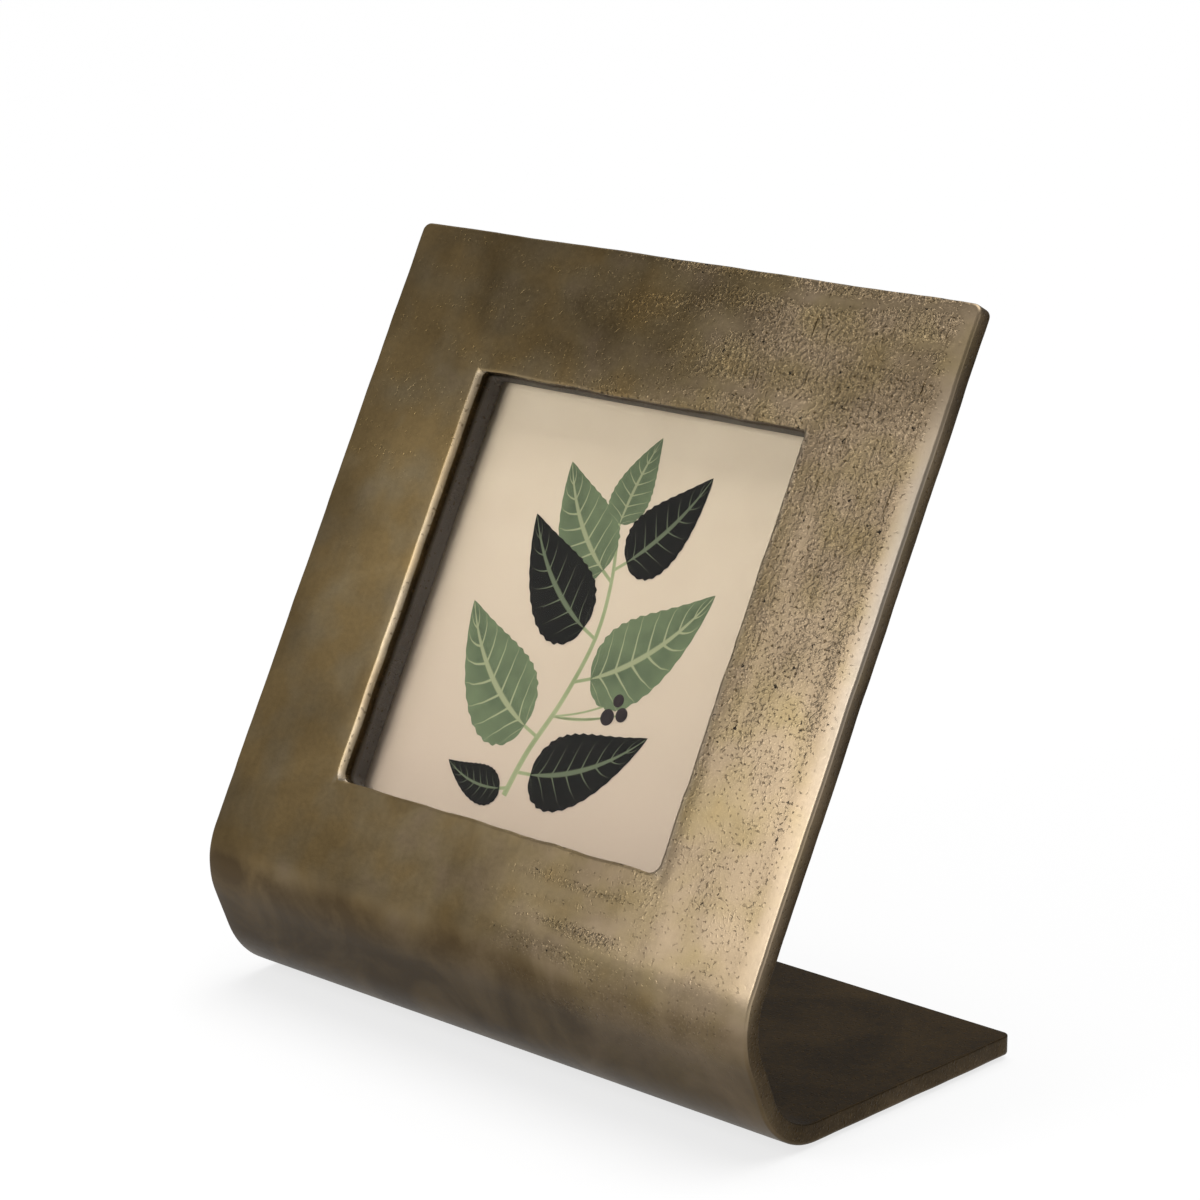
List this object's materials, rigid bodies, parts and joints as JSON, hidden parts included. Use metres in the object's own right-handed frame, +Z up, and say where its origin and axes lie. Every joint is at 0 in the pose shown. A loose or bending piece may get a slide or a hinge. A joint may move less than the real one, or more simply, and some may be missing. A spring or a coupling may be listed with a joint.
{
  "type": "photo frame",
  "caption": "Free-standing photo frame: a bent cast plate forms the foot and the leaning face, with a glazed near-square window and turn-buttons behind.",
  "frame": {"origin": "on the standing surface, under the middle of the frame's box", "axes": "+X to the frame's right as seen from the front, +Y towards the back, +Z up; the window faces -Y"},
  "size_m": [0.2, 0.1108, 0.2086],
  "materials": {
    "cast_brass": "sand-cast, antique patina, satin",
    "picture_glass": "clear, polished",
    "print_paper": "matt print",
    "fibreboard": "raw fibreboard",
    "backing_felt": "flocked",
    "button_brass": "stamped strip",
    "screw_steel": "zinc plated",
    "pad_felt": "pressed felt"
  },
  "bodies": {
    "root": {"cast_bent_plate": "cast_brass", "glass_pane": "picture_glass", "picture_print": "print_paper", "backing_board": "fibreboard", "backing_felt": "backing_felt", "button_washer_top": "screw_steel", "button_washer_bottom": "screw_steel", "button_washer_left": "screw_steel", "button_washer_right": "screw_steel", "button_screw_top": "screw_steel", "button_screw_bottom": "screw_steel", "button_screw_left": "screw_steel", "button_screw_right": "screw_steel", "foot_pad_front_left": "pad_felt", "foot_pad_front_right": "pad_felt", "foot_pad_rear_left": "pad_felt", "foot_pad_rear_right": "pad_felt"},
    "button_top": {"turn_button_top": "button_brass"},
    "button_bottom": {"turn_button_bottom": "button_brass"},
    "button_left": {"turn_button_left": "button_brass"},
    "button_right": {"turn_button_right": "button_brass"}
  },
  "joints": [
    {"name": "button_top_turn", "type": "hinge", "parent": "root", "child": "button_top", "pos_m": [0, 0.03272, 0.17186], "axis": [0, 0.8829, -0.4695], "continuous": true},
    {"name": "button_bottom_turn", "type": "hinge", "parent": "root", "child": "button_bottom", "pos_m": [0, -0.03066, 0.05266], "axis": [0, 0.8829, -0.4695], "continuous": true},
    {"name": "button_left_turn", "type": "hinge", "parent": "root", "child": "button_left", "pos_m": [-0.0675, 0.00103, 0.11226], "axis": [0, 0.8829, -0.4695], "continuous": true},
    {"name": "button_right_turn", "type": "hinge", "parent": "root", "child": "button_right", "pos_m": [0.0675, 0.00103, 0.11226], "axis": [0, 0.8829, -0.4695], "continuous": true}
  ]
}
